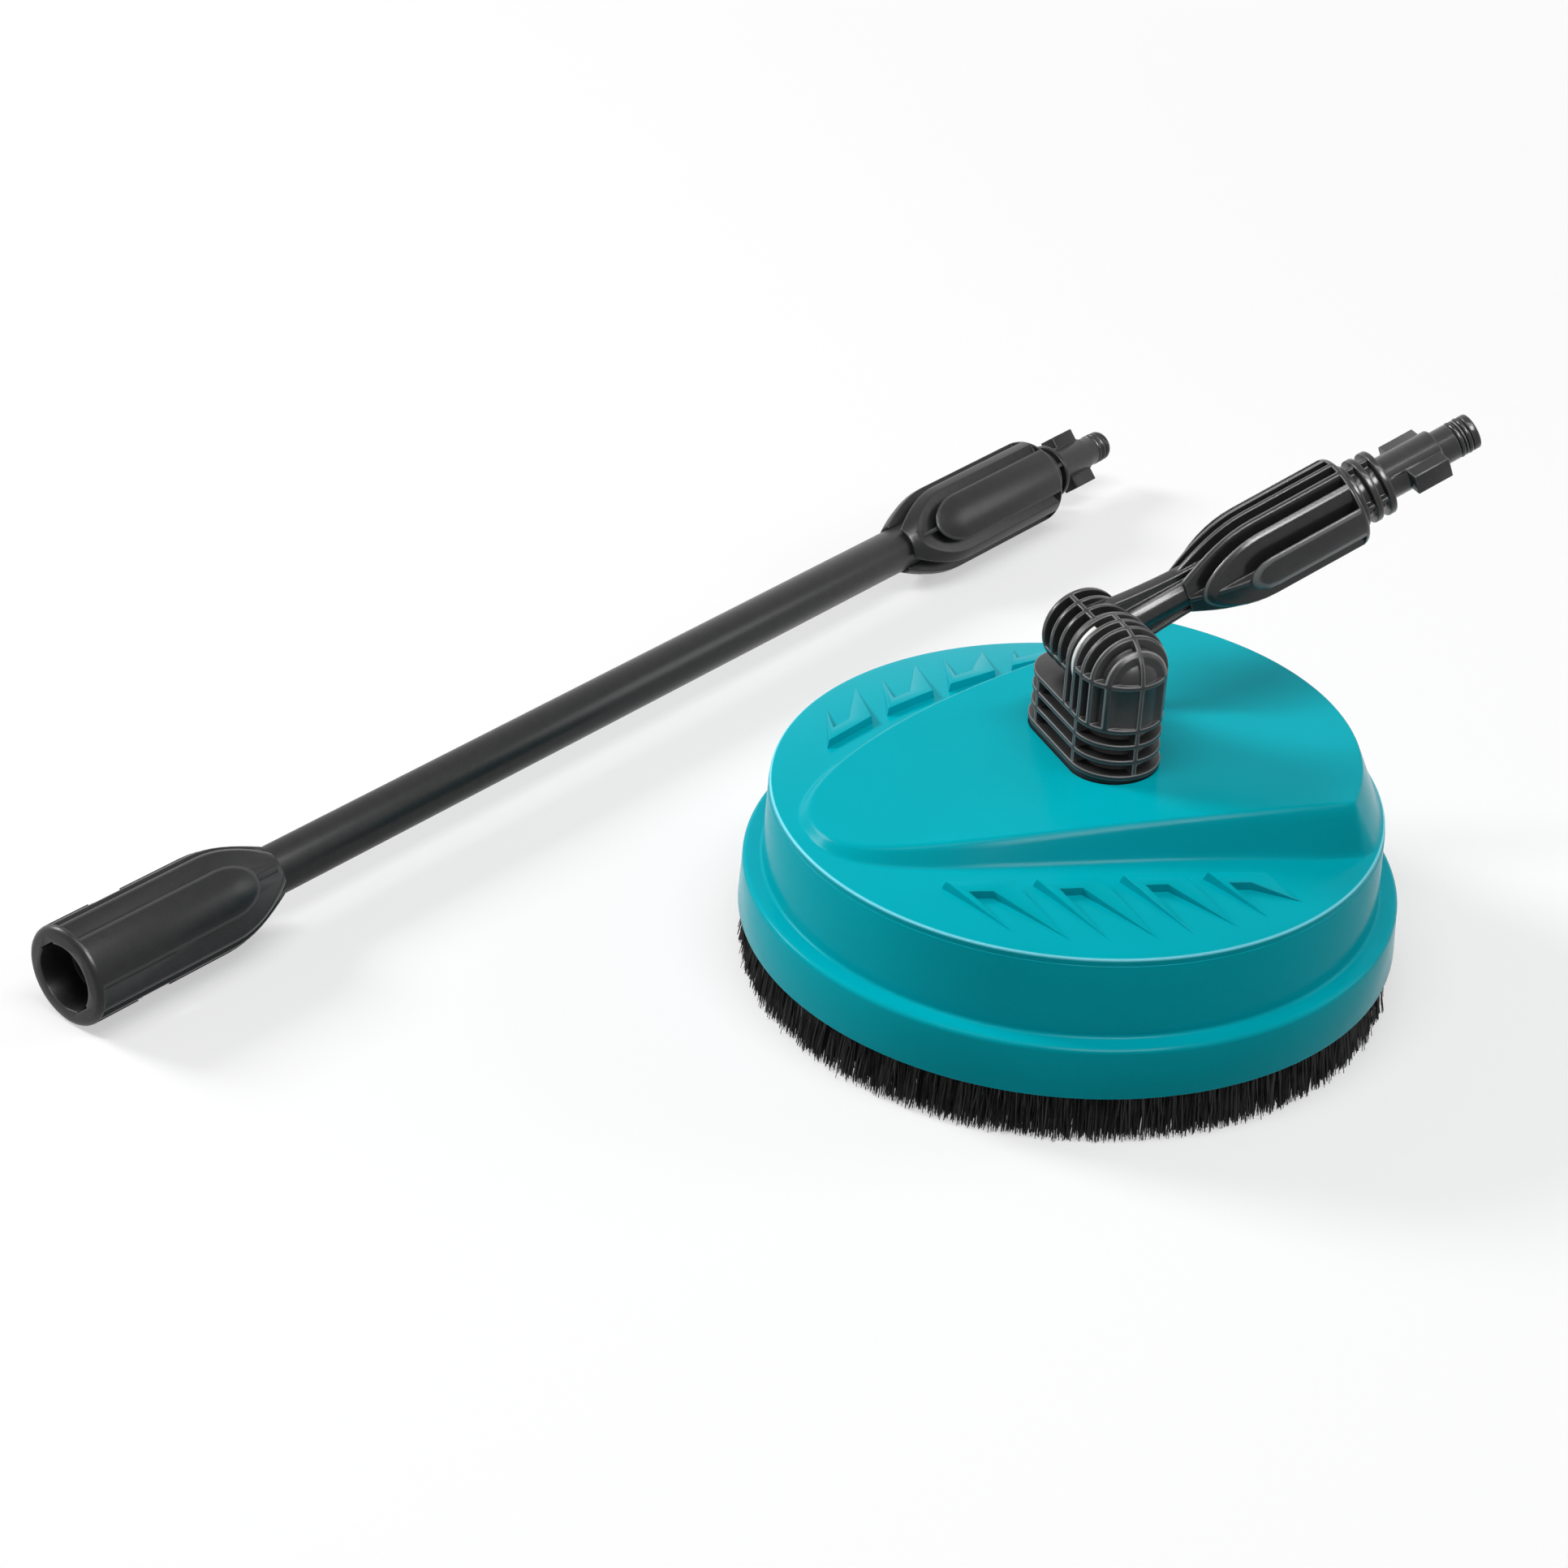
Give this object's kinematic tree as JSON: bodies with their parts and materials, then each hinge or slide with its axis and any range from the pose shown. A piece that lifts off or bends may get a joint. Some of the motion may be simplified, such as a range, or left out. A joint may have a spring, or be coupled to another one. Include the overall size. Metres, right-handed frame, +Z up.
{
  "type": "surface cleaner",
  "caption": "Round pressure-washer surface cleaner: brushed deck, spray rotor inside, tilting ribbed handle with a bayonet spigot, and a loose extension lance.",
  "frame": {"origin": "on the floor under the middle of the round deck, on the rotor's axis", "axes": "+Z up along the rotor's axis, +Y to the rear where the handle points, +X to the side of the tower's ear"},
  "size_m": [0.5964, 0.6956, 0.2418],
  "materials": {
    "deck": "satin moulded plastic",
    "moulding": "fine moulded texture",
    "bristle": "drawn nylon filament",
    "seal": "moulded rubber",
    "clip": "white nylon",
    "steel": "turned stainless",
    "bush": "sintered bronze"
  },
  "bodies": {
    "base": {"deck_shell": "deck", "brush_ring": "moulding", "brush_ring_screws": "steel", "brush_segment_1": "bristle", "brush_segment_2": "bristle", "brush_segment_3": "bristle", "brush_segment_4": "bristle", "brush_segment_5": "bristle", "brush_segment_6": "bristle", "brush_segment_7": "bristle", "brush_segment_8": "bristle", "pivot_tower": "moulding", "tower_screws": "steel", "pivot_clip": "clip", "swivel_bush": "bush", "swivel_seal": "seal"},
    "handle": {"handle_body": "moulding", "pivot_pin": "moulding", "pivot_o_rings": "seal", "handle_spigot": "moulding", "handle_o_rings": "seal"},
    "rotor": {"rotor_hub": "moulding", "rotor_nut": "steel", "spray_arm": "steel", "nozzle_front": "moulding", "nozzle_rear": "moulding", "nozzle_inserts": "steel"},
    "lance": {"lance_tube": "moulding", "lance_grip": "moulding", "lance_socket": "moulding", "lance_socket_seal": "seal", "lance_spigot": "moulding", "lance_o_rings": "seal"}
  },
  "joints": [
    {"name": "handle_tilt", "type": "hinge", "parent": "base", "child": "handle", "pos_m": [0, 0.006, 0.1585], "axis": [1, 0, 0], "range_deg": [-27, 150]},
    {"name": "rotor_spin", "type": "hinge", "parent": "base", "child": "rotor", "pos_m": [0, 0, 0.047], "axis": [0, 0, 1], "continuous": true},
    {"name": "lance_lift", "type": "slide", "parent": "base", "child": "lance", "axis": [0, 0, 1], "range_m": [0, 0.25]}
  ]
}
